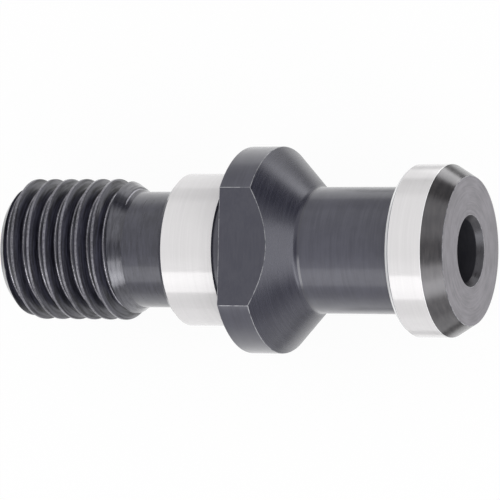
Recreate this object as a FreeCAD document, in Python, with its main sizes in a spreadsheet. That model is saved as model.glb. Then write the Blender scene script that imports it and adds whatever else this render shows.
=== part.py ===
import FreeCAD, Part
import os
import re

import Sketcher

# Driving dimensions, in millimetres and degrees. Stations are measured along the axis from the seat,
# the flange's rear face: the head lies ahead of it on +X, the threaded shank behind it on -X.
DIMENSIONS = [
    ("reach", 26.0, "seat to the front of the head"),
    ("head_diameter", 19.0, "ground rim of the head"),
    ("nose_length", 2.15, "cone at the front of the head"),
    ("nose_angle", 31.0, "slope of that cone to the axis"),
    ("grip_station", 19.75, "seat to the rim of the gripping face"),
    ("grip_angle", 15.0, "slope of the gripping face from square"),
    ("grip_break", 0.4, "broken edge of the gripping face"),
    ("neck_diameter", 14.0, "neck behind the head"),
    ("neck_fillet", 0.5, "radius at each end of the neck"),
    ("flange_diameter", 23.0, "flange"),
    ("flange_thickness", 3.7, "straight rim of the flange"),
    ("cone_angle", 45.0, "slope of the cone from flange to neck"),
    ("across_flats", 19.0, "the two wrench flats"),
    ("undercut_diameter", 16.5, "floor of the grinding undercut"),
    ("undercut_width", 1.3, "grinding undercut behind the seat"),
    ("pilot_diameter", 17.0, "ground pilot"),
    ("pilot_length", 8.0, "seat to the tail end of the pilot"),
    ("pilot_chamfer", 0.5, "lead-in of the pilot"),
    ("relief_diameter", 13.0, "thread relief"),
    ("relief_length", 5.3, "thread relief, without its cone"),
    ("relief_angle", 33.0, "slope of the relief's cone to the axis"),
    ("shank_length", 28.5, "seat to the tail end"),
    ("thread_diameter", 15.9, "thread over its crests"),
    ("thread_pitch", 2.0, "one turn of the thread"),
    ("thread_angle", 60.0, "angle between two flanks"),
    ("thread_phase", 234.0, "turn that the groove makes before the tail face"),
    ("crest_width", 0.3, "flat on the crests"),
    ("root_width", 0.3, "flat at the root"),
    ("thread_chamfer", 1.5, "lead-in of the thread"),
    ("bore_diameter", 7.0, "coolant bore from end to end"),
    ("countersink_diameter", 7.9, "mouths of the bore"),
    ("countersink_angle", 60.0, "angle of the countersinks"),
    ("cutter_margin", 0.1, "run of a cutter outside the metal"),
]
DIMENSION_NAMES = [name for name, _, _ in DIMENSIONS]

# Stations and radii that follow from the driving dimensions.
HEAD_RADIUS = "head_diameter / 2"
NECK_RADIUS = "neck_diameter / 2"
FLANGE_RADIUS = "flange_diameter / 2"
UNDERCUT_RADIUS = "undercut_diameter / 2"
PILOT_RADIUS = "pilot_diameter / 2"
RELIEF_RADIUS = "relief_diameter / 2"
THREAD_RADIUS = "thread_diameter / 2"
BORE_RADIUS = "bore_diameter / 2"
NECK_START = f"flange_thickness + ({FLANGE_RADIUS} - {NECK_RADIUS}) / tan(cone_angle)"
NECK_END = f"grip_station - ({HEAD_RADIUS} - {NECK_RADIUS}) * tan(grip_angle)"
RELIEF_START = "-pilot_length - relief_length"
THREAD_END = f"{RELIEF_START} - ({THREAD_RADIUS} - {RELIEF_RADIUS}) / tan(relief_angle)"
COUNTERSINK_DEPTH = f"(countersink_diameter / 2 - {BORE_RADIUS}) / tan(countersink_angle / 2)"
GROOVE_START = "-shank_length - thread_pitch * thread_phase / 360"
GROOVE_END = f"{RELIEF_START} + relief_length / 2"
HALF_GROOVE = "(thread_pitch - crest_width) / 2"
HALF_ROOT = "root_width / 2"
HALF_CUTTER = f"({HALF_GROOVE} + cutter_margin * tan(thread_angle / 2))"
THREAD_DEPTH = f"({HALF_GROOVE} - {HALF_ROOT}) / tan(thread_angle / 2)"

# Corners of the turned outline, from the tail to the head, as stations and radii.
TURNED_OUTLINE = [
    ("-shank_length", "0"),
    ("-shank_length", THREAD_RADIUS),
    (THREAD_END, THREAD_RADIUS),
    (RELIEF_START, RELIEF_RADIUS),
    ("-pilot_length", RELIEF_RADIUS),
    ("-pilot_length", PILOT_RADIUS),
    ("-undercut_width", PILOT_RADIUS),
    ("-undercut_width", UNDERCUT_RADIUS),
    ("0", UNDERCUT_RADIUS),
    ("0", FLANGE_RADIUS),
    ("flange_thickness", FLANGE_RADIUS),
    (NECK_START, NECK_RADIUS),
    (NECK_END, NECK_RADIUS),
    ("grip_station", HEAD_RADIUS),
    ("reach - nose_length", HEAD_RADIUS),
    ("reach", f"{HEAD_RADIUS} - nose_length * tan(nose_angle)"),
    ("reach", "0"),
]

# The corners at both ends of the neck, which are rounded.
NECK_CORNERS = [(NECK_START, NECK_RADIUS), (NECK_END, NECK_RADIUS)]

# Corners of the bore's half section.
BORE_OUTLINE = [
    ("-shank_length", "0"),
    ("-shank_length", "countersink_diameter / 2"),
    (f"-shank_length + {COUNTERSINK_DEPTH}", BORE_RADIUS),
    (f"reach - {COUNTERSINK_DEPTH}", BORE_RADIUS),
    ("reach", "countersink_diameter / 2"),
    ("reach", "0"),
]

# Corners of the cut above the upper flat, seen along the axis.
FLAT_OUTLINE = [
    (f"-{FLANGE_RADIUS} - cutter_margin", "across_flats / 2"),
    (f"{FLANGE_RADIUS} + cutter_margin", "across_flats / 2"),
    (f"{FLANGE_RADIUS} + cutter_margin", f"{FLANGE_RADIUS} + cutter_margin"),
    (f"-{FLANGE_RADIUS} - cutter_margin", f"{FLANGE_RADIUS} + cutter_margin"),
]

# Corners of the thread's groove, a turn before it enters the tail face.
GROOVE_OUTLINE = [
    (f"{GROOVE_START} - {HALF_ROOT}", f"{THREAD_RADIUS} - {THREAD_DEPTH}"),
    (f"{GROOVE_START} + {HALF_ROOT}", f"{THREAD_RADIUS} - {THREAD_DEPTH}"),
    (f"{GROOVE_START} + {HALF_CUTTER}", f"{THREAD_RADIUS} + cutter_margin"),
    (f"{GROOVE_START} - {HALF_CUTTER}", f"{THREAD_RADIUS} + cutter_margin"),
]


def make_sheet(doc):
    sheet = doc.addObject("Spreadsheet::Sheet", "dimensions")
    for row, (name, value, meaning) in enumerate(DIMENSIONS, start=1):
        sheet.set(f"A{row}", meaning)
        sheet.set(f"B{row}", str(value))
        sheet.setAlias(f"B{row}", name)
    doc.recompute()
    return sheet


def expression(formula):
    """The formula with each dimension's name written as a cell of the sheet."""
    names = "|".join(DIMENSION_NAMES)
    return re.sub(rf"\b({names})\b", r"dimensions.\1", formula)


def origin_plane(body, role):
    return next(feature for feature in body.Origin.OriginFeatures if feature.Role == role)


def add_sketch(body, name, plane_role):
    sketch = body.newObject("Sketcher::SketchObject", name)
    sketch.AttachmentSupport = (origin_plane(body, plane_role), [""])
    sketch.MapMode = "FlatFace"
    return sketch


def value_of(thing, formula):
    return float(thing.evalExpression(expression(formula)))


def add_dimension(sketch, name, formula, kind, *place):
    """A named dimension of the sketch that follows a formula of the sheet's cells."""
    constraint = Sketcher.Constraint(kind, *place, value_of(sketch, formula))
    sketch.renameConstraint(sketch.addConstraint(constraint), name)
    sketch.setExpression(f"Constraints.{name}", expression(formula))


def draw_outline(sketch, corners):
    """A closed and fully constrained outline. Each corner is a pair of formulas, across and up."""
    horizontal_axis, vertical_axis = -1, -2
    points = [FreeCAD.Vector(*(value_of(sketch, formula) for formula in corner)) for corner in corners]
    for start, end in zip(points, points[1:] + points[:1]):
        sketch.addGeometry(Part.LineSegment(start, end))
    count = len(corners)
    for line in range(count):
        sketch.addConstraint(Sketcher.Constraint("Coincident", line, 2, (line + 1) % count, 1))
    for line, (across, up) in enumerate(corners):
        last_line = (line - 1) % count
        last_across, last_up = corners[last_line]
        if across == "0":
            sketch.addConstraint(Sketcher.Constraint("PointOnObject", line, 1, vertical_axis))
        elif across == last_across:
            sketch.addConstraint(Sketcher.Constraint("Vertical", last_line))
        else:
            add_dimension(sketch, f"across_{line}", across, "DistanceX", line, 1)
        if up == "0":
            sketch.addConstraint(Sketcher.Constraint("PointOnObject", line, 1, horizontal_axis))
        elif up == last_up:
            sketch.addConstraint(Sketcher.Constraint("Horizontal", last_line))
        else:
            add_dimension(sketch, f"up_{line}", up, "DistanceY", line, 1)


def round_corner(sketch, corner, formula):
    """An arc at a corner of an outline. The sharp corner stays in the sketch as a point."""
    sketch.fillet(corner, 1, value_of(sketch, formula), True, True)
    arc = sketch.GeometryCount - 2
    add_dimension(sketch, f"rounding_{corner}", formula, "Radius", arc)


def add_turned_blank(body):
    sketch = add_sketch(body, "turned_outline", "XY_Plane")
    draw_outline(sketch, TURNED_OUTLINE)
    for corner in NECK_CORNERS:
        round_corner(sketch, TURNED_OUTLINE.index(corner), "neck_fillet")
    blank = body.newObject("PartDesign::Revolution", "turned_blank")
    blank.Profile = sketch
    blank.ReferenceAxis = (sketch, ["H_Axis"])
    blank.Angle = 360
    return blank


def add_chamfer(body, name, base, station, radius, size):
    """A chamfer round the full circle that the base feature has at a station and a radius."""
    body.Document.recompute()
    on_circle = Part.Vertex(value_of(body, station), value_of(body, radius), 0)
    circles = [
        f"Edge{index}"
        for index, edge in enumerate(base.Shape.Edges, start=1)
        if edge.Closed and edge.distToShape(on_circle)[0] < 1e-5
    ]
    chamfer = body.newObject("PartDesign::Chamfer", name)
    chamfer.Base = (base, circles)
    chamfer.setExpression("Size", expression(size))
    return chamfer


def add_bore(body):
    """The bore and its two countersinks."""
    sketch = add_sketch(body, "bore_outline", "XY_Plane")
    draw_outline(sketch, BORE_OUTLINE)
    bore = body.newObject("PartDesign::Groove", "coolant_bore")
    bore.Profile = sketch
    bore.ReferenceAxis = (sketch, ["H_Axis"])
    bore.Angle = 360
    return bore


def add_wrench_flats(body):
    """Two milled flats across the flange and its cone, square to Z."""
    sketch = add_sketch(body, "flat_outline", "YZ_Plane")
    draw_outline(sketch, FLAT_OUTLINE)
    upper = body.newObject("PartDesign::Pocket", "upper_flat")
    upper.Profile = sketch
    upper.Reversed = True
    upper.setExpression("Length", expression(NECK_START))
    both = body.newObject("PartDesign::Mirrored", "both_flats")
    both.Originals = [upper]
    both.MirrorPlane = (origin_plane(body, "XY_Plane"), [""])
    body.Tip = both
    return both


def add_thread(body):
    """A right-hand groove from behind the tail face to the middle of the relief."""
    sketch = add_sketch(body, "groove_outline", "XY_Plane")
    draw_outline(sketch, GROOVE_OUTLINE)
    thread = body.newObject("PartDesign::SubtractiveHelix", "thread")
    thread.Profile = sketch
    thread.ReferenceAxis = (sketch, ["H_Axis"])
    thread.Mode = "pitch-height-angle"
    thread.setExpression("Pitch", expression("thread_pitch"))
    thread.setExpression("Height", expression(f"{GROOVE_END} - ({GROOVE_START})"))
    thread.LeftHanded = False
    return thread


def check_model(doc, body):
    failed = [thing.Label for thing in doc.Objects if {"Invalid", "Error"} & set(thing.State)]
    if failed:
        raise RuntimeError(f"failed features: {failed}")
    for feature in body.Group:
        base = getattr(feature, "BaseFeature", None)
        if base and feature.Shape.Volume >= base.Shape.Volume:
            raise RuntimeError(f"{feature.Label} takes nothing away")
    shape = body.Shape
    if shape.isNull() or not shape.isValid() or len(shape.Solids) != 1:
        raise RuntimeError(f"{body.Label} is not one valid solid")


def main():
    doc = FreeCAD.newDocument("pull_stud")
    make_sheet(doc)
    body = doc.addObject("PartDesign::Body", "pull_stud")
    body.Label = "pull_stud"
    blank = add_turned_blank(body)
    tail = add_chamfer(body, "tail_lead_in", blank, "-shank_length", THREAD_RADIUS, "thread_chamfer")
    pilot = add_chamfer(body, "pilot_lead_in", tail, "-pilot_length", PILOT_RADIUS, "pilot_chamfer")
    add_chamfer(body, "grip_edge", pilot, "grip_station", HEAD_RADIUS, "grip_break")
    add_bore(body)
    add_wrench_flats(body)
    add_thread(body)
    doc.recompute()
    check_model(doc, body)
    os.makedirs("parts", exist_ok=True)
    body.Shape.exportStep(f"parts/{body.Label}.step")
    print(f"{body.Label}: {body.Shape.Volume:.1f} cubic millimetres, {len(body.Shape.Faces)} faces")


main()
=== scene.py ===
# %% [markdown]
# # A pull stud
#
# A pull stud is screwed into the back of a tool holder, and the machine's gripper pulls
# on its head. It is one turned steel piece: a thread, a ground pilot, a flange with two
# wrench flats, a neck and a head, with a hole for coolant down the middle. The packed
# model gives its place and its size. Everything below is built in millimetres and made
# metres at the end, because a machinist's drawing is in millimetres too.

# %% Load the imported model
import math

import bmesh
import bpy
from mathutils import Matrix, Vector


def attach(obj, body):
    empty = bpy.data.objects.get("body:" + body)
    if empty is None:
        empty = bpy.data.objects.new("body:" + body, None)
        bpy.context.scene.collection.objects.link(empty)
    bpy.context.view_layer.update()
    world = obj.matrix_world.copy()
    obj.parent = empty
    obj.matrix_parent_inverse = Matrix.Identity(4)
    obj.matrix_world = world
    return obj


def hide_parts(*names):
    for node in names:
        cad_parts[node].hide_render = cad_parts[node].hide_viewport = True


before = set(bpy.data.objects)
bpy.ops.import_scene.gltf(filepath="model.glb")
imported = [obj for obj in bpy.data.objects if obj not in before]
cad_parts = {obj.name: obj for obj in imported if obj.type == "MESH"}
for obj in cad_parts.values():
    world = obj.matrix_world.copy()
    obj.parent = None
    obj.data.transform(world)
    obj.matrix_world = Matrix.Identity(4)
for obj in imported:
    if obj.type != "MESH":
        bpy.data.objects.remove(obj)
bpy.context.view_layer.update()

MM = 0.001

# %% [markdown]
# ## The camera
#
# The picture was taken with a long lens from above and from the head's side. A camera can
# be aimed with a constraint, by hand, or by a matrix. Three small turns make the matrix
# here, because each of them is one thing that can be read off the picture: how far the
# view is swung to the head, how far it is tipped to the near side, and how level it is.

# %% Place the camera
SWING, TIP, LEVEL = (math.radians(angle) for angle in (24.6, 2.18, 0.27))
AIM = Vector((-0.49, 0, 0))
RAISE = -0.01
DISTANCE = 520.1
LENS = 336.1

tipped = Matrix.Rotation(TIP, 3, "X")
swung = Matrix.Rotation(SWING, 3, "Y")
turn = tipped @ swung @ Matrix.Rotation(LEVEL, 3, "Z")
eye = AIM + turn.col[1] * RAISE + turn.col[2] * DISTANCE
lens = bpy.data.cameras.new("camera")
lens.lens = LENS
camera = bpy.data.objects.new("camera", lens)
camera.matrix_world = Matrix.Translation(eye * MM) @ turn.to_4x4()
bpy.context.scene.collection.objects.link(camera)
bpy.context.scene.camera = camera
bpy.context.scene.view_settings.view_transform = "Standard"
print("camera at", [round(v) for v in eye], "mm")

# %% [markdown]
# ## Turning an outline
#
# A lathe makes this piece, so a lathe is the way to model it: an outline in the plane of
# the axis is spun once round. One outline could hold the whole stud, but it is cut into
# short runs, each with the finish that its surface has. Neighbouring runs end on the same
# circle, and merging doubles joins them.

# %% The finishes and the fineness of a turned surface
FINISHES = [
    "turned_black", "faced_black", "cone_black", "milled_black", "thread_black",
    "ground_steel", "bright_edge", "worn_edge", "bore_black", "sink_black", "head_face",
    "nose_black", "relief_black", "runout_black", "corner_black",
]
AROUND = 192
ARC_STEPS = 8
MERGE = 0.0005
print("a full circle of", AROUND, "steps, and", len(FINISHES), "finishes")


# %% Draw an outline and round its corners
def join(stud, part):
    """Add a finished part's mesh to the stud's."""
    mesh = bpy.data.meshes.new("part")
    part.to_mesh(mesh)
    part.free()
    stud.from_mesh(mesh)
    bpy.data.meshes.remove(mesh)


def draw_outline(part, corners):
    """Draw stations and radii as a line of points above the axis."""
    points = [bmesh.ops.create_vert(part, co=(x, r, 0))["vert"][0] for x, r in corners]
    for pair in zip(points, points[1:]):
        part.edges.new(pair)
    return points


def round_corners(part, corners, reach, segments):
    """Round corners of an outline; reach is how far from the corner its arc starts."""
    bmesh.ops.bevel(part, geom=corners, offset=reach, offset_type="OFFSET", segments=segments,
                    profile=0.5, affect="VERTICES", material=-1)


# %% [markdown]
# Smooth shading blends from point to point, so on a long straight line it would bend the
# light all the way along. A point close to each end keeps the line flat between them, and
# the shading only turns at the corners.

# %% A run of the outline becomes a ring
LONG = 1
HOLD = 0.06


def hold_ends(part):
    """Give each long line a point close to both of its ends."""
    for line in [edge for edge in part.edges if edge.calc_length() > LONG]:
        start, end = line.verts
        new_line, _ = bmesh.utils.edge_split(line, start, HOLD / line.calc_length())
        long_line = new_line if end in new_line.verts else line
        bmesh.utils.edge_split(long_line, end, HOLD / long_line.calc_length())


def spin_ring(stud, finish, corners, rounded=None):
    """Spin an outline once round the axis; rounded gives the reach of a corner's arc."""
    ring = bmesh.new()
    points = draw_outline(ring, corners)
    for corner, reach in (rounded or {}).items():
        round_corners(ring, [points[corner]], reach, ARC_STEPS)
    hold_ends(ring)
    bmesh.ops.spin(ring, geom=ring.verts[:] + ring.edges[:], cent=(0, 0, 0), axis=(1, 0, 0),
                   dvec=(0, 0, 0), angle=math.tau, steps=AROUND, use_merge=True)
    for face in ring.faces:
        face.material_index = FINISHES.index(finish)
    join(stud, ring)


# %% [markdown]
# ## Flange, cone and neck
#
# The flange is a disc with a 45 degree cone behind it that runs down to the neck. On the
# real piece each sharp corner is broken by a hair, and the black coat rubs off there
# first, so the corners are narrow rings of their own with a worn finish. The tool's round
# nose leaves both ends of the neck rounded: a bevel on the corner's point does the same.

# %% Spin the flange, the cone and the neck
CONE_FOOT = 7.8
NECK_CORNER = 0.38

stud = bmesh.new()
spin_ring(stud, "faced_black", [(0, 8.25), (0, 11.43)])
spin_ring(stud, "worn_edge", [(0, 11.43), (0.02, 11.48), (0.07, 11.5)])
spin_ring(stud, "turned_black", [(0.07, 11.5), (3.67, 11.5)])
spin_ring(stud, "worn_edge", [(3.67, 11.5), (3.71, 11.488), (3.74, 11.46)])
spin_ring(stud, "cone_black", [(3.74, 11.46), (CONE_FOOT, 7.4)])
spin_ring(stud, "turned_black", [(CONE_FOOT, 7.4), (8.2, 7.0), (19.08, 7.0), (19.646, 9.114)],
          {1: NECK_CORNER, 2: NECK_CORNER})
bmesh.ops.remove_doubles(stud, verts=stud.verts[:], dist=MERGE)
print("flange, cone and neck:", len(stud.faces), "faces")

# %% [markdown]
# The cone and the neck meet in an arc. The cone's smoother finish runs a little way into
# it, and on the rest a painted highlight lightens the near side. So the arc's faces get
# their finish by their station.

# %% Divide the corner between the cone and the neck
CORNER_START, CORNER_END = 8.3, 8.58

for face in stud.faces:
    station = face.calc_center_median().x
    if CONE_FOOT < station < CORNER_START:
        face.material_index = FINISHES.index("cone_black")
    elif CORNER_START <= station < CORNER_END:
        face.material_index = FINISHES.index("corner_black")
in_corner = [face for face in stud.faces if FINISHES[face.material_index] == "corner_black"]
print("faces in the rubbed corner:", len(in_corner))

# %% [markdown]
# ## The wrench flats
#
# A milling cutter takes two flats off the flange, 19 mm across. A boolean with a box would
# do it, but a plane that bisects the mesh leaves cleaner edges: it cuts, the loop that it
# leaves is filled with one face, and an inset that also lifts the face gives the flat its
# narrow broken edge all round, along the straight sides and the curve on the cone alike.

# %% Mill the two flats
ACROSS_FLATS = 19
EDGE, LIFT = 0.07, 0.03
TOUCH = 1e-5

for side in (1, -1):
    cut = bmesh.ops.bisect_plane(
        stud, geom=stud.verts[:] + stud.edges[:] + stud.faces[:], dist=TOUCH,
        plane_co=(0, 0, side * (ACROSS_FLATS / 2 - LIFT)), plane_no=(0, 0, side),
        clear_outer=True)
    rim = [part for part in cut["geom_cut"] if isinstance(part, bmesh.types.BMEdge)]
    milled = FINISHES.index("milled_black")
    flat = bmesh.ops.edgeloop_fill(stud, edges=rim, mat_nr=milled)["faces"]
    flat[0].normal_update()
    if flat[0].normal.z * side < 0:
        flat[0].normal_flip()
    border = bmesh.ops.inset_individual(stud, faces=flat, thickness=EDGE, depth=LIFT,
                                        use_even_offset=True)
    for face in border["faces"]:
        face.material_index = FINISHES.index("worn_edge")
    height = round(flat[0].verts[0].co.z, 3)
    print("flat on side", side, "has", len(flat[0].verts), "corners, at z =", height)

# %% [markdown]
# ## Head, bore and pilot
#
# The head's rim and the pilot are ground bright after blackening, and so are the rim's two
# edges. The head's front is a shallow cone and a flat face, and the bore has a small
# countersink at both ends. They are more rings of the same outline, each a finish with its
# corners. They are spun after the flats are cut, so that the plane of the flats, which
# just touches the head's rim, doesn't cut it.

# %% The head's outline, from its gripping face to the bore
HEAD = [
    ("bright_edge", [(19.646, 9.114), (20.12, 9.477), (20.15, 9.495), (20.18, 9.5)]),
    ("ground_steel", [(20.18, 9.5), (23.82, 9.5)]),
    ("bright_edge", [(23.82, 9.5), (23.89, 9.477)]),
    ("nose_black", [(23.89, 9.477), (25.96, 8.233)]),
    ("worn_edge", [(25.96, 8.233), (25.99, 8.205), (26, 8.17)]),
    ("head_face", [(26, 8.17), (26, 3.98)]),
    ("worn_edge", [(26, 3.98), (25.975, 3.936)]),
]
print("the head's rim is", 2 * HEAD[1][1][0][1], "mm across")

# %% The outlines of the bore and the pilot
TAIL = -28.5
RELIEF_RADIUS = 6.5
RELIEF_JOINT = -12.3

BORE = [
    ("sink_black", [(25.975, 3.936), (25.24, 3.511)]),
    ("bore_black", [(25.24, 3.511), (25.19, 3.5), (-27.69, 3.5), (-27.74, 3.511)]),
    ("sink_black", [(-27.74, 3.511), (-28.475, 3.936)]),
    ("worn_edge", [(-28.475, 3.936), (TAIL, 4.0)]),
    ("faced_black", [(TAIL, 4.0), (TAIL, 6.40)]),
]
PILOT = [
    ("relief_black", [(RELIEF_JOINT, RELIEF_RADIUS), (-8.0, RELIEF_RADIUS), (-8.0, 8.0),
                      (-7.5, 8.5)]),
    ("ground_steel", [(-7.5, 8.5), (-1.35, 8.5)]),
    ("turned_black", [(-1.35, 8.5), (-1.3, 8.46), (-1.3, 8.25), (0, 8.25)]),
]
print("the pilot is", 2 * PILOT[1][1][0][1], "mm across")

# %% Spin the head, the bore, the tail face and the pilot
for finish, corners in HEAD + BORE + PILOT:
    spin_ring(stud, finish, corners)
bmesh.ops.remove_doubles(stud, verts=stud.verts[:], dist=MERGE)
print("with head, bore and pilot:", len(stud.faces), "faces")

# %% [markdown]
# ## The thread
#
# The thread has a pitch of 2 mm and seven turns or so. A screw modifier could make it,
# and so could a spiral of points, but the operator that spun the rings does it too when
# each step also moves along the axis: the outline of one tooth climbs one pitch in a
# turn. The cutter leaves a narrow flat at the crest and in the root, and both are
# slightly rounded.

# %% One tooth climbs one turn
PITCH, CREST, ROOT = 2.0, 7.95, 6.738
FIRST_ROOT, TURNS = -31.8, 10
TOOTH = [(0, ROOT), (0.15, ROOT), (0.85, CREST), (1.15, CREST), (1.85, ROOT), (PITCH, ROOT)]
TOOTH_CORNER, FLANK_CUTS = 0.055, 9

thread = bmesh.new()
points = draw_outline(thread, [(FIRST_ROOT + x, r) for x, r in TOOTH])
round_corners(thread, points[1:5], TOOTH_CORNER, 3)
flanks = [edge for edge in thread.edges if edge.calc_length() > 0.5]
bmesh.ops.subdivide_edges(thread, edges=flanks, cuts=FLANK_CUTS)
print("lines in a tooth:", len(thread.edges))
bmesh.ops.spin(thread, geom=thread.verts[:] + thread.edges[:], cent=(0, 0, 0), axis=(1, 0, 0),
               dvec=(PITCH / AROUND, 0, 0), angle=math.tau, steps=AROUND)

# %% Copies of the turn join end to end
one_turn = thread.faces[:]
for count in range(1, TURNS):
    copy = bmesh.ops.duplicate(thread, geom=one_turn)
    corners = [part for part in copy["geom"] if isinstance(part, bmesh.types.BMVert)]
    bmesh.ops.translate(thread, vec=(PITCH * count, 0, 0), verts=corners)
bmesh.ops.remove_doubles(thread, verts=thread.verts[:], dist=MERGE)
print("thread before trimming:", len(thread.faces), "faces")

# %% [markdown]
# The blank under a real thread is chamfered at its tail and tapers to the relief, so the
# teeth lose their height there. Each point that stands outside the blank moves in to it,
# and two planes trim the ends, where the section has become a plain circle.

# %% Trim the thread to its blank
RELIEF_START, THREAD_END = -13.3, -12.4
THREAD_START = TAIL + 0.04
TAIL_RADIUS = 6.45
RUN_OUT_SLOPE = math.tan(math.radians(33))


def thread_limit(station):
    """The radius of the blank: the crest, the tail's chamfer, the run-out or the relief."""
    chamfer = TAIL_RADIUS + (station - TAIL)
    run_out = RELIEF_RADIUS + max(RELIEF_START - station, 0) * RUN_OUT_SLOPE
    return min(CREST, chamfer, run_out)


for vert in thread.verts:
    radius = math.hypot(vert.co.y, vert.co.z)
    limit = thread_limit(vert.co.x)
    if radius > limit:
        vert.co.y *= limit / radius
        vert.co.z *= limit / radius
for station, side in ((THREAD_START, -1), (THREAD_END, 1)):
    bmesh.ops.bisect_plane(
        thread, geom=thread.verts[:] + thread.edges[:] + thread.faces[:], dist=TOUCH,
        plane_co=(station, 0, 0), plane_no=(side, 0, 0), clear_outer=True)
print("thread after trimming:", len(thread.faces), "faces")

# %% [markdown]
# What the trimming moved in is no longer thread: it is the cone that the tool leaves as it
# runs out, the chamfer at the tail, or the relief.

# %% Give the thread its finishes and join it
TAPER, ON_BLANK = 0.01, 0.004


def thread_finish(place):
    """The finish at a place on the trimmed thread."""
    limit = thread_limit(place.x)
    if place.x > RELIEF_START:
        return "relief_black"
    clipped = math.hypot(place.y, place.z) > limit - ON_BLANK
    return "runout_black" if limit < CREST - TAPER and clipped else "thread_black"


for face in thread.faces:
    face.material_index = FINISHES.index(thread_finish(face.calc_center_median()))
join(stud, thread)
print("stud and thread:", len(stud.faces), "faces")


# %% Bridge the thread to the tail face and to the relief
def open_circle(station):
    """The open edges round the stud at a station."""
    return [edge for edge in stud.edges
            if edge.is_boundary and all(abs(vert.co.x - station) < 0.001 for vert in edge.verts)]


for thread_end, ring_end, finish in ((THREAD_START, TAIL, "worn_edge"),
                                     (THREAD_END, RELIEF_JOINT, "relief_black")):
    ends = open_circle(thread_end) + open_circle(ring_end)
    for face in bmesh.ops.bridge_loops(stud, edges=ends)["faces"]:
        face.material_index = FINISHES.index(finish)
print("open edges left:", sum(edge.is_boundary for edge in stud.edges))

# %% [markdown]
# ## One closed shell
#
# Spinning can leave faces looking inward, so all normals are worked out again on the
# closed shell. An edge is sharp where two finishes meet or where the surface turns by
# more than 35 degrees, and everything else is shaded smooth.

# %% Shade the shell
SHARP = math.radians(35)

bmesh.ops.recalc_face_normals(stud, faces=stud.faces[:])
print("volume:", round(stud.calc_volume(), 1), "cubic mm")
for face in stud.faces:
    face.smooth = True
for edge in stud.edges:
    finishes = {face.material_index for face in edge.link_faces}
    edge.smooth = len(finishes) == 1 and edge.calc_face_angle(0) < SHARP

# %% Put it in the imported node's place
bmesh.ops.scale(stud, vec=(MM, MM, MM), verts=stud.verts[:])
mesh = bpy.data.meshes.new("stud")
stud.to_mesh(mesh)
stud.free()
piece = bpy.data.objects.new("stud", mesh)
bpy.context.scene.collection.objects.link(piece)
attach(piece, "root")
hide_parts("pull_stud")
mesh.calc_loop_triangles()
print("stud:", len(mesh.loop_triangles), "triangles")


# %% [markdown]
# ## Shader maths as Python
#
# Each finish below is a handful of numbers and a pattern that follows the lathe. Wiring
# Math nodes one by one hides that, so a signal stands for the output of a node, and
# adding or multiplying signals adds the Math nodes. Colours go through Mix nodes, and
# every other node through one method that takes its type, settings and inputs.

# %% A signal, the output of a node
class Signal:
    """The output of a node, with arithmetic that adds Math nodes."""

    def __init__(self, finish, socket):
        self.finish = finish
        self.socket = socket

    def __add__(self, other):
        return self.finish.calc("ADD", self, other)

    def __sub__(self, other):
        return self.finish.calc("SUBTRACT", self, other)

    def __rsub__(self, other):
        return self.finish.calc("SUBTRACT", other, self)

    def __mul__(self, other):
        return self.finish.calc("MULTIPLY", self, other)

    def __truediv__(self, other):
        return self.finish.calc("DIVIDE", self, other)

    def __pow__(self, other):
        return self.finish.calc("POWER", self, other)

    __radd__ = __add__
    __rmul__ = __mul__


# %% The tree that signals belong to
class Finish:
    """The node tree of a material or a world."""

    def __init__(self, owner):
        owner.use_nodes = True
        self.tree = owner.node_tree
        self.tree.nodes.clear()

    def node(self, kind, settings=None, inputs=None, output=0):
        """Add a node: its settings first, then the values or signals of its inputs."""
        node = self.tree.nodes.new(kind)
        for name, value in (settings or {}).items():
            setattr(node, name, value)
        for name, value in (inputs or {}).items():
            if isinstance(value, Signal):
                self.tree.links.new(value.socket, node.inputs[name])
            else:
                node.inputs[name].default_value = value
        return Signal(self, node.outputs[output]) if node.outputs else None

    def split(self, kind, names, inputs=None):
        """Add a node and take several of its outputs."""
        outputs = self.node(kind, None, inputs).socket.node.outputs
        return [Signal(self, outputs[name]) for name in names]

    def calc(self, operation, *values):
        return self.node("ShaderNodeMath", {"operation": operation}, dict(enumerate(values)))

    def off(self, value, centre=0.0):
        """How far a value is from a centre, on either side."""
        return self.calc("ABSOLUTE", value - centre)

    def ramp(self, value, low, high):
        """Rise smoothly from 0 to 1 while the value goes from low to high."""
        return self.node("ShaderNodeMapRange", {"interpolation_type": "SMOOTHSTEP"},
                         {"Value": value, "From Min": low, "From Max": high})

    def blend(self, share, first, second):
        """The first colour where the share is 0 and the second where it is 1."""
        colours = [value if isinstance(value, Signal) else (*value, 1)
                   for value in (first, second)]
        return self.node("ShaderNodeMix", {"data_type": "RGBA"},
                         {0: share, 6: colours[0], 7: colours[1]}, 2)


# %% [markdown]
# ## What a lathe leaves
#
# The tool leaves fine rings round the axis: across a cylinder they follow the station, and
# on a face they follow the radius. A noise that reads both, and the place round the axis
# only coarsely, gives rings on every turned surface at once, broken up as real ones are.
# Reading the place round the axis as a sine and a cosine leaves no seam.

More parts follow.
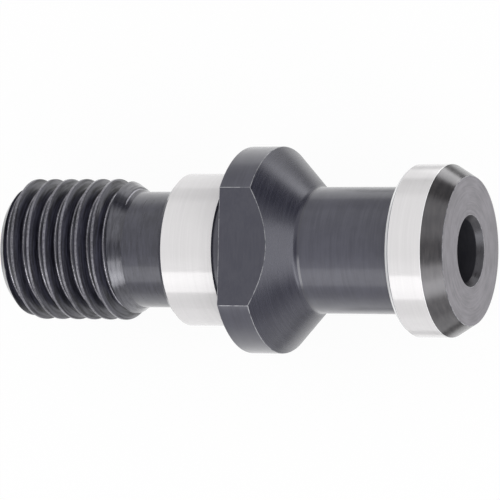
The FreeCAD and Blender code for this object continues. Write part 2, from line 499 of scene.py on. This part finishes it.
# %% Places on the stud and its turning marks
class TurnedFinish(Finish):
    """A finish with the stud's own measures: station, radius and place round the axis."""

    def __init__(self, name):
        super().__init__(bpy.data.materials.new(name))
        place = self.node("ShaderNodeTexCoord", output="Object")
        self.place = self.node("ShaderNodeVectorMath", {"operation": "SCALE"},
                               {0: place, "Scale": 1 / MM})
        self.x, self.y, self.z = self.split("ShaderNodeSeparateXYZ", "XYZ", {0: self.place})
        self.radius = (self.y * self.y + self.z * self.z) ** 0.5

    def noise(self, vector, scale, detail, settings=None, **inputs):
        return self.node("ShaderNodeTexNoise", settings, {
            "Vector": vector, "Scale": scale, "Detail": detail, "Roughness": 0.6, **inputs})

    def marks(self, fineness, spread, detail=3.0):
        """Rings, so many to a millimetre, broken up round the axis by the spread."""
        around = self.node("ShaderNodeCombineXYZ", None, {
            0: self.x * fineness,
            1: self.y / self.radius * spread,
            2: self.z / self.radius * spread})
        return self.noise(around, 1.0, detail, {"noise_dimensions": "4D"},
                          W=self.radius * fineness)

    def cloud(self, fineness):
        """Soft patches, so many to a millimetre."""
        return self.noise(self.place, fineness, 3.0)

    def relief(self, height, depth):
        """A bump of the given height signal; depth is in millimetres."""
        return self.node("ShaderNodeBump", None, {
            "Height": height, "Strength": 1.0, "Distance": depth * MM})

    def steel(self, **inputs):
        """Finish with a Principled shader whose inputs are named in plain words."""
        named = {word.replace("_", " ").title().replace("Ior", "IOR"): value
                 for word, value in inputs.items()}
        shader = self.node("ShaderNodeBsdfPrincipled", None, named)
        self.node("ShaderNodeOutputMaterial", None, {"Surface": shader})


# %% [markdown]
# ## Black oxide
#
# Black oxide is a thin dark coat with a blue cast that keeps the turned surface under it,
# so it is dark, not metallic, with a soft gloss. It is usually oiled against rust, and a
# film of oil mirrors most at a flat angle: a coat on the shader is that film, and it is
# stronger along some marks than along others.

# %% One function for all black surfaces
COOL = (0.92, 0.92, 1.0)
NEUTRAL = (0.98, 0.96, 1.0)
FILM = {"coat_roughness": 0.16, "coat_ior": 1.5}


def black_oxide(name, dark, light, gloss, shine, fineness=4.5, spread=2.0, depth=0.0006,
                ripple=0.15, oil=0.8, film=0.2, tint=COOL):
    """A black finish between two colours along its marks.

    Gloss is the roughness, which ripples along the marks, and shine is how much the
    surface mirrors head on. Oil is the share of the film, which film makes uneven.
    """
    finish = TurnedFinish(name)
    marks = finish.marks(fineness, spread)
    tone = finish.ramp(marks * 0.7 + finish.cloud(0.5) * 0.3, 0.35, 0.65)
    finish.steel(
        base_color=finish.blend(tone, dark, light),
        roughness=gloss + (marks - 0.5) * ripple,
        specular_ior_level=shine / 0.08,
        specular_tint=(*tint, 1),
        coat_weight=oil + (tone - 0.5) * film,
        normal=finish.relief(marks, depth),
        **FILM)
    print(name, "with a gloss of", gloss)


# %% The flange, the neck, the flats and the bore
OXIDE_DARK, OXIDE_LIGHT = (0.020, 0.020, 0.035), (0.031, 0.031, 0.050)

black_oxide("turned_black", OXIDE_DARK, OXIDE_LIGHT, gloss=0.36, shine=0.042)
black_oxide("faced_black", (0.019, 0.019, 0.031), (0.031, 0.031, 0.046), gloss=0.40, shine=0.042)
black_oxide("milled_black", (0.021, 0.021, 0.036), (0.026, 0.026, 0.041), gloss=0.42,
            shine=0.032, depth=0.0002)
black_oxide("bore_black", (0.019, 0.019, 0.024), (0.029, 0.029, 0.034), gloss=0.5, shine=0.04,
            oil=0.2)

# %% [markdown]
# The cone, the nose and the countersinks are smoother and carry almost no oil: they
# mirror the room more sharply, and don't turn so light where they are seen at a flat
# angle. The head's face is the palest of the black surfaces.

# %% The cone and the head
black_oxide("cone_black", (0.010, 0.010, 0.021), (0.019, 0.019, 0.032), gloss=0.27,
            shine=0.066, oil=0.0)
black_oxide("head_face", (0.050, 0.043, 0.055), (0.116, 0.103, 0.126), gloss=0.40,
            shine=0.040, depth=0.001)
black_oxide("sink_black", (0.017, 0.016, 0.018), (0.030, 0.028, 0.031), gloss=0.30,
            shine=0.055, fineness=6.0, spread=5.0, depth=0.0010, ripple=0.2, oil=0.0)
black_oxide("nose_black", (0.014, 0.013, 0.015), (0.033, 0.030, 0.031), gloss=0.19,
            shine=0.080, fineness=4.5, spread=5.0, depth=0.0014, ripple=0.25, oil=0.12,
            film=0.24, tint=NEUTRAL)

# %% [markdown]
# The relief and the thread's run-out were cut with a coarser feed, and oil stands in their
# marks, so short streaks of gloss show round them.

# %% The relief and the run-out
black_oxide("relief_black", (0.012, 0.012, 0.022), (0.025, 0.025, 0.043), gloss=0.31,
            shine=0.037, fineness=5.0, spread=4.0, depth=0.0030, ripple=0.25, film=0.3)
black_oxide("runout_black", (0.002, 0.002, 0.006), (0.018, 0.018, 0.030), gloss=0.18,
            shine=0.084, fineness=4.5, spread=3.5, depth=0.0060, ripple=0.3, oil=0.5, film=1.0)

# %% [markdown]
# ## The thread's finish
#
# The thread is black too, with two fine light lines along it. On the crests another thread
# has rubbed the coat thin, and a painted highlight adds to that; along the foot of the
# flanks the line is a painted highlight of the rounded root.
# The station less the climb of the thread up to the same place round the axis tells how
# far across its tooth a point lies: the root is at 0 and at 1, and the crest is half-way.

# %% How far across its tooth a point lies
tooth_black = TurnedFinish("thread_black")
climb = tooth_black.calc("ARCTAN2", tooth_black.z, tooth_black.y) / math.tau
across = tooth_black.calc("FRACT", (tooth_black.x - FIRST_ROOT) / PITCH - climb + 1)


def line_at(centre, inner, outer):
    """A soft line across the tooth, inner and outer being half widths in mm."""
    return 1 - tooth_black.ramp(tooth_black.off(across, centre) * PITCH, inner, outer)


foot = line_at(0.925, 0.02, 0.08)
crest = line_at(0.51, 0.09, 0.16)
shoulder = line_at(0.62, 0.10, 0.30)
print("rubbed lines: the foot of the flank, the crest and its shoulder")

# %% The flanks and their lines of wear and painted highlight
cuts = tooth_black.marks(4.5, 2.0, 4.0)
lines = tooth_black.ramp(cuts, 0.38, 0.62)
flank = tooth_black.blend(lines, (0.002, 0.002, 0.006), (0.031, 0.031, 0.048))
patchy = tooth_black.ramp(cuts * 0.4 + tooth_black.cloud(4.0) * 0.6, 0.38, 0.60)
# Painted light: the crest line is partly worn steel and partly a painted highlight, and the foot
# line is a painted highlight of the rounded root.
wear_and_highlight = (crest * 0.43 + foot * 1.3 + shoulder * 0.05) * (0.35 + patchy * 0.65)
tooth_black.steel(
    base_color=tooth_black.blend(wear_and_highlight, flank, (0.42, 0.41, 0.46)),
    metallic=wear_and_highlight * 0.6,
    roughness=0.40 - lines * 0.12 - wear_and_highlight * 0.08 - foot * 0.08,
    specular_ior_level=0.40,
    coat_weight=0.05 + lines * 0.5,
    normal=tooth_black.relief(cuts, 0.003),
    **FILM)
print("thread's tree:", len(tooth_black.tree.nodes), "nodes")

# %% [markdown]
# ## Bright and worn steel
#
# The grinding wheel leaves a satin surface that scatters most of the light, so it is pale
# and only partly metallic. A fully metallic one would mirror the soft boxes too brightly.

# %% Ground steel
ground = TurnedFinish("ground_steel")
scratches = ground.marks(5.0, 1.0)
ground.steel(
    base_color=ground.blend(scratches, (0.61, 0.598, 0.604), (0.74, 0.726, 0.732)),
    metallic=0.28,
    roughness=0.13 + (scratches - 0.5) * 0.1,
    normal=ground.relief(scratches, 0.0004))
print("ground steel's tree:", len(ground.tree.nodes), "nodes")

# %% [markdown]
# The head's rim has a bright edge on both sides, and a thin grey line is painted across the
# rear edge, next to the ground band.

# %% The bright edges of the head
GREY_LINE_AT = 20.05

bright = TurnedFinish("bright_edge")
# A thin grey line is painted into the rear edge's colour here, with less coat on it.
grey_line = 1 - bright.ramp(bright.off(bright.x, GREY_LINE_AT), 0.03, 0.09)
bright.steel(
    base_color=bright.blend(grey_line, (0.80, 0.80, 0.81), (0.26, 0.26, 0.28)),
    metallic=0.15,
    roughness=0.35,
    coat_weight=1.0 - grey_line,
    coat_roughness=0.2)
print("the seam lies at station", GREY_LINE_AT, "mm")

# %% [markdown]
# In the corner at the neck a painted highlight lightens the colour over a few millimetres
# on the near side. The worn edges have lost the coat in patches all round, down to bare steel.

# %% The painted highlight in the corner and the worn edges
HIGHLIGHT_Y, HIGHLIGHT_INNER, HIGHLIGHT_OUTER = -2.6, 1.0, 2.0
THIN_COAT_AND_HIGHLIGHT, BARE = (0.14, 0.14, 0.16), (0.36, 0.36, 0.38)

arc = TurnedFinish("corner_black")
# A painted highlight: the near side of the corner is made lighter where the soft box shows in
# the fillet.
corner_highlight = (1 - arc.ramp(arc.off(arc.y, HIGHLIGHT_Y), HIGHLIGHT_INNER, HIGHLIGHT_OUTER)) * arc.ramp(arc.z, 0, 1)
arc.steel(
    base_color=arc.blend(corner_highlight, OXIDE_DARK, THIN_COAT_AND_HIGHLIGHT),
    roughness=0.34,
    specular_ior_level=0.525,
    coat_weight=0.7,
    **FILM)

worn = TurnedFinish("worn_edge")
patches = worn.ramp(worn.cloud(1.5), 0.35, 0.6)
worn.steel(base_color=worn.blend(patches, THIN_COAT_AND_HIGHLIGHT, BARE), metallic=0.6, roughness=0.35)

for name in FINISHES:
    mesh.materials.append(bpy.data.materials[name])
print("finishes:", len(mesh.materials))

# %% [markdown]
# ## Floor and light
#
# The stud lies on its lower flat on a white table in a white studio. A camera sees both as
# plain white, but polished steel is only as good as what it mirrors, and a room that is
# white all round makes it look flat. So both tell the camera's rays from mirrored ones:
# a mirrored ray finds a room that is darker in front of the head.

# %% What a ray is for, and how bright the room is far off
def ray_kinds(finish):
    """Signals that are 1 for camera rays and for mirrored or refracted rays."""
    seen, mirrored, refracted = finish.split("ShaderNodeLightPath", (
        "Is Camera Ray", "Is Glossy Ray", "Is Transmission Ray"))
    return seen, finish.calc("MAXIMUM", mirrored, refracted)


AHEAD = (0.906, 0.423)


def far_level(finish, x, y):
    """How bright the room is far off, in a level direction: dark in front of the head."""
    ahead = x * AHEAD[0] + y * AHEAD[1]
    return 0.86 + finish.ramp(x, -0.4, 0.3) * 0.30 - finish.ramp(ahead, -0.3, 0.9) * 1.05


# %% The table's top
FLOOR = -9.5

table_mesh = bpy.data.meshes.new("table")
plane = bmesh.new()
bmesh.ops.create_grid(plane, x_segments=1, y_segments=1, size=1.5,
                      matrix=Matrix.Translation((0, 0, FLOOR * MM)))
plane.to_mesh(table_mesh)
plane.free()
table = bpy.data.objects.new("table", table_mesh)
bpy.context.scene.collection.objects.link(table)
print("table", -FLOOR, "mm below the stud's axis")

# %% [markdown]
# The stud's sides mirror the table. The table is bright close to the stud, in a pool of
# light that ends sooner beyond the head on the far side, and then fades into the room's
# own level. Two things in the pool show in the steel: a bright spot beyond the head, which
# the far side of the nose mirrors, and a thin dark line along both sides, which edges the
# neck and the head.

# %% What the steel mirrors in the table
POOL_START, POOL_END = 34, 62
SPOT, SPOT_INNER, SPOT_OUTER, SPOT_LEVEL = (30, 31), 7, 20, 2.2
LINE, LINE_INNER, LINE_OUTER = 18.7, 1, 5

white = TurnedFinish("white_table")
away = (white.x * white.x + white.y * white.y) ** 0.5
beside = white.off(white.y)
near = 1.03 + white.ramp(beside, 5, 20) * 0.09
reach = 1.6 - white.ramp((white.x + white.y) * 0.7, 10, 42) * 0.6
far = far_level(white, white.x / away, white.y / away)
pool = near - white.ramp(away / reach, POOL_START, POOL_END) * (near - far)
from_spot = ((white.x - SPOT[0]) ** 2.0 + (white.y - SPOT[1]) ** 2.0) ** 0.5
spot = (1 - white.ramp(from_spot, SPOT_INNER, SPOT_OUTER)) * SPOT_LEVEL
line = 1 - white.ramp(white.off(beside, LINE), LINE_INNER, LINE_OUTER)
depth = white.ramp(white.x, 4, 7) * 0.45 + white.ramp(white.x, 15, 24) * 0.38
pool = (pool + spot) * (1 - line * depth)
print("the pool of light starts to fade at", POOL_START, "mm")

# %% [markdown]
# The table is mostly its own light, so that its shading hardly shows and only a faint
# shadow stays. The rest is matt white.

# %% The white table
seen, mirrored = ray_kinds(white)
glow = white.node("ShaderNodeEmission", None, {
    "Color": (1, 1, 1, 1), "Strength": seen + (1 - seen) * pool})
matt = white.node("ShaderNodeBsdfDiffuse", None, {"Color": (0.9, 0.9, 0.9, 1)})
share = white.calc("MAXIMUM", seen * 0.95, mirrored * 0.85)
white.node("ShaderNodeOutputMaterial", None, {
    "Surface": white.node("ShaderNodeMixShader", None, {0: share, 1: matt, 2: glow})})
table_mesh.materials.append(bpy.data.materials["white_table"])
print("table's tree:", len(white.tree.nodes), "nodes")

# %% [markdown]
# The world is the far level at the horizon and white above it. It has a dim opening, the
# one that the camera looks through, and some light spills in high on the near side. Matt
# surfaces get a plain fill that is stronger from the far side.

# %% The world
OPENING = (0.416, -0.035, 0.908)

world = bpy.data.worlds.new("studio")
bpy.context.scene.world = world
air = Finish(world)
seen, mirrored = ray_kinds(air)
way = air.node("ShaderNodeTexCoord", output="Generated")
forward, side, rise = air.split("ShaderNodeSeparateXYZ", "XYZ", {0: way})
far = far_level(air, forward, side)
facing = forward * OPENING[0] + side * OPENING[1] + rise * OPENING[2]
opening = air.ramp(facing, 0.90, 0.97) * 0.6
spill = air.ramp(side, -0.12, -0.42) * air.ramp(rise, 0.4, 0.6) * 0.22
studio = (far + (1 - far) * air.ramp(rise, 0.08, 0.30)) * (1 - opening) + spill
fill = 0.48 + air.ramp(side, -0.6, 0.6) * 0.64
strength = seen + (1 - seen) * (mirrored * studio + (1 - mirrored) * fill)
air.node("ShaderNodeOutputWorld", None, {"Surface": air.node("ShaderNodeBackground", None, {
    "Color": (1, 1, 1, 1), "Strength": strength})})
print("world's tree:", len(air.tree.nodes), "nodes")


# %% [markdown]
# Two long soft boxes hang over the stud: one over the near side, which draws the bright
# band along the turned surfaces, and a lower one before the head, which lights the nose
# and the face. Each is placed by its heading and by the two heights between which the
# stud sees it, because those are what a highlight's edges show.

# %% The soft boxes
def soft_box(name, heading, low, high, distance, width, radiance):
    """An area light toward a heading from the +X axis, from one elevation to another."""
    middle, half = math.radians((high + low) / 2), math.radians((high - low) / 2)
    lamp = bpy.data.lights.new(name, "AREA")
    lamp.shape = "RECTANGLE"
    lamp.size, lamp.size_y = width, 2 * distance * math.tan(half)
    lamp.energy = radiance * math.pi * lamp.size * lamp.size_y
    box = bpy.data.objects.new(name, lamp)
    out = Vector((math.cos(middle), 0, math.sin(middle)))
    back = Matrix.Rotation(math.radians(heading), 3, "Z") @ out
    box.location = back * distance
    box.rotation_mode = "QUATERNION"
    box.rotation_quaternion = (-back).to_track_quat("-Z", "Y")
    box.visible_camera = False
    bpy.context.scene.collection.objects.link(box)
    print(name, "is", round(lamp.size, 2), "by", round(lamp.size_y, 2), "m")


soft_box("near_box", heading=-80, low=22, high=58, distance=0.7, width=1.6, radiance=1.0)
soft_box("front_box", heading=-20, low=18, high=36, distance=0.9, width=1.7, radiance=1.75)
